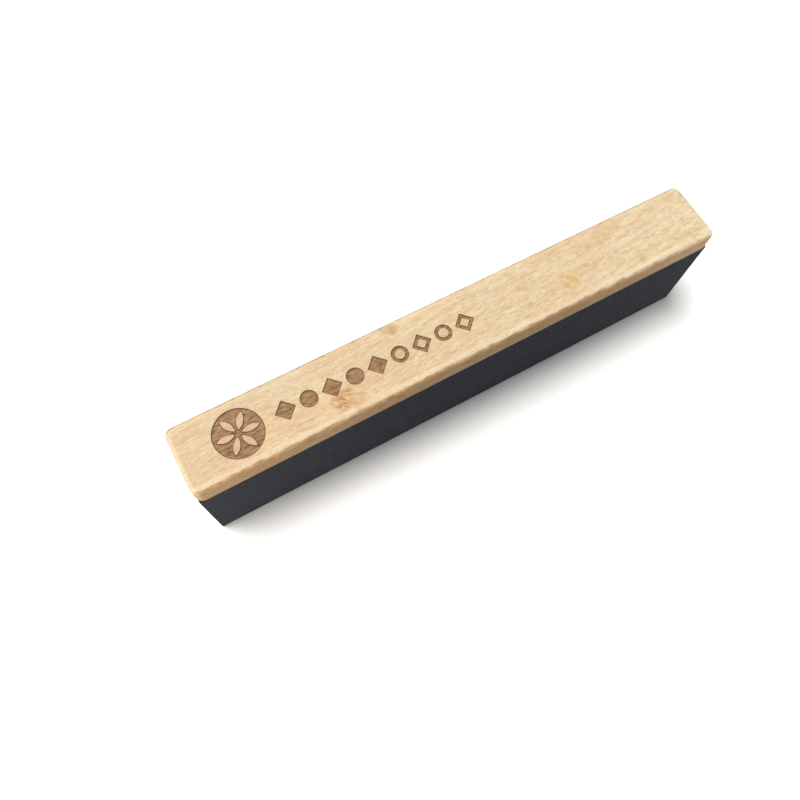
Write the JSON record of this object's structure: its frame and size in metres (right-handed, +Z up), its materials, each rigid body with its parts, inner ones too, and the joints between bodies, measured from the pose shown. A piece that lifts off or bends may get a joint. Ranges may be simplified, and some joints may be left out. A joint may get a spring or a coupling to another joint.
{
  "type": "chalkboard eraser",
  "caption": "Long chalkboard eraser with an engraved beech back glued to a tall block of dark felt strips standing on edge.",
  "frame": {"origin": "centre of the wiping face at the bottom of the felt block", "axes": "+X along the eraser with the engraved roundel towards -X, +Y across the eraser from front to back, +Z up from the wiping face to the beech back"},
  "size_m": [0.25, 0.03, 0.058],
  "materials": {
    "beech": "smooth sanded and lightly oiled beech with a scorched engraving",
    "felt": "dense matte charcoal felt",
    "adhesive": "dark flexible contact adhesive"
  },
  "bodies": {
    "root": {"beech_back": "beech", "mounting_adhesive": "adhesive", "felt_strip_1": "felt", "felt_strip_2": "felt", "felt_strip_3": "felt", "felt_strip_4": "felt", "felt_strip_5": "felt", "seam_adhesive_1": "adhesive", "seam_adhesive_2": "adhesive", "seam_adhesive_3": "adhesive", "seam_adhesive_4": "adhesive"}
  },
  "joints": []
}
